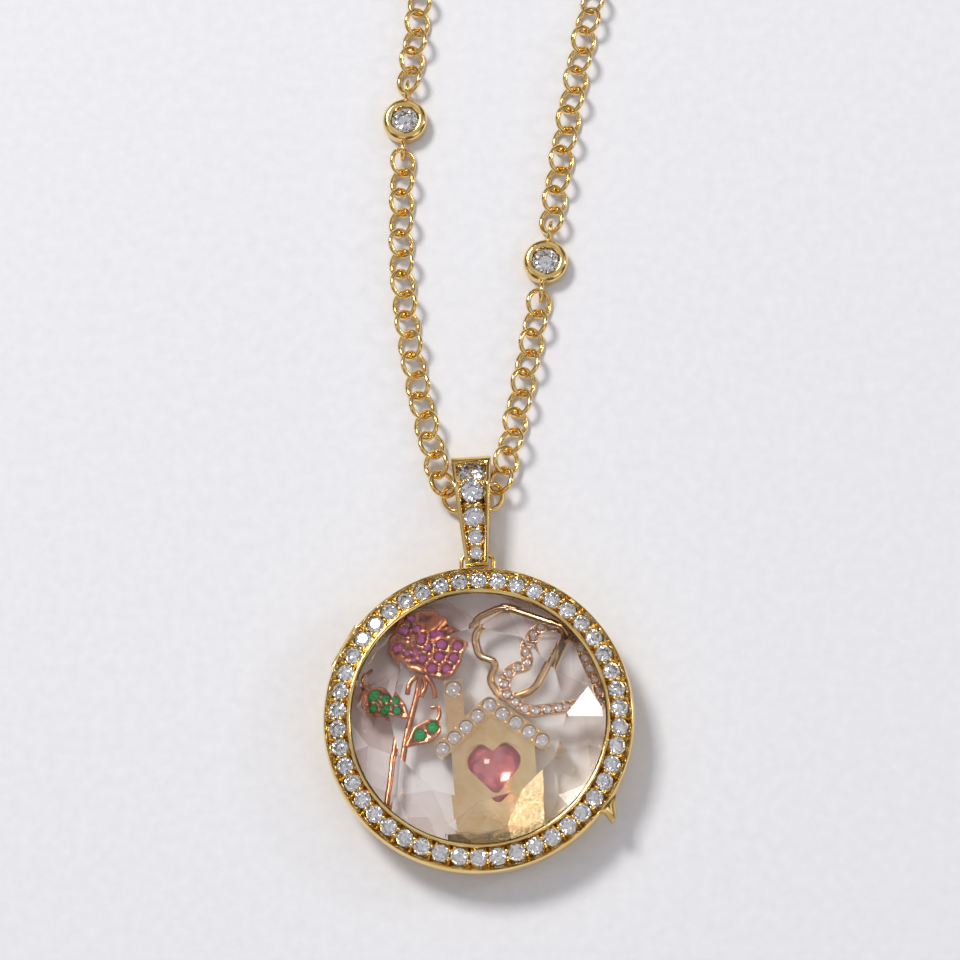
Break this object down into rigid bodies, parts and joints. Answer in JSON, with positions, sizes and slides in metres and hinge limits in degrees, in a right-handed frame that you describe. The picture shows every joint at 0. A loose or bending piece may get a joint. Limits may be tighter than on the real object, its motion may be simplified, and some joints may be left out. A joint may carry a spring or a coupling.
{
  "type": "glass locket charm on a chain",
  "caption": "Round hinged locket with faceted crystals, a stone-set rim and loose charms inside, on a tapered bail and a round-link chain with two stone stations.",
  "frame": {"origin": "centre of the back crystal's outer face, which is the surface that the locket lies on", "axes": "+X to the wearer's left of the locket as seen from the front, +Y from the locket's centre to its bail, +Z out of the front crystal"},
  "size_m": [0.1116, 0.2014, 0.006],
  "materials": {
    "yellow_gold": "polished yellow gold",
    "pale_gold": "polished pale gold",
    "rose_gold": "polished rose gold",
    "crystal": "clear faceted crystal",
    "clear_stone": "clear cut stone",
    "purple_stone": "pink to purple cut stone",
    "green_stone": "green cut stone",
    "pink_stone": "domed pink stone"
  },
  "bodies": {
    "case": {"case_ring": "yellow_gold", "back_crystal": "crystal", "hinge_pin": "yellow_gold", "bail": "yellow_gold", "bail_stone_1": "clear_stone", "bail_stone_2": "clear_stone", "bail_stone_3": "clear_stone", "bail_stone_4": "clear_stone", "bail_stone_5": "clear_stone", "chain_links": "yellow_gold", "chain_back_right": "yellow_gold", "chain_back_left": "yellow_gold", "clasp": "yellow_gold", "station_left": "yellow_gold", "station_right": "yellow_gold", "station_stone_left": "clear_stone", "station_stone_right": "clear_stone", "rose_charm": "rose_gold", "rose_sapphires": "purple_stone", "rose_emeralds": "green_stone", "house_charm": "pale_gold", "house_diamonds": "clear_stone", "house_heart_stone": "pink_stone", "heart_charm": "pale_gold", "set_heart_charm": "rose_gold", "set_heart_diamonds": "clear_stone"},
    "lid": {"bezel": "yellow_gold", "bezel_stones": "clear_stone", "front_crystal": "crystal"}
  },
  "joints": [
    {"name": "lid_hinge", "type": "hinge", "parent": "case", "child": "lid", "pos_m": [-0.01041, 0.00601, 0.0027], "axis": [-0.5, -0.866, 0], "range_deg": [0, 100]}
  ]
}
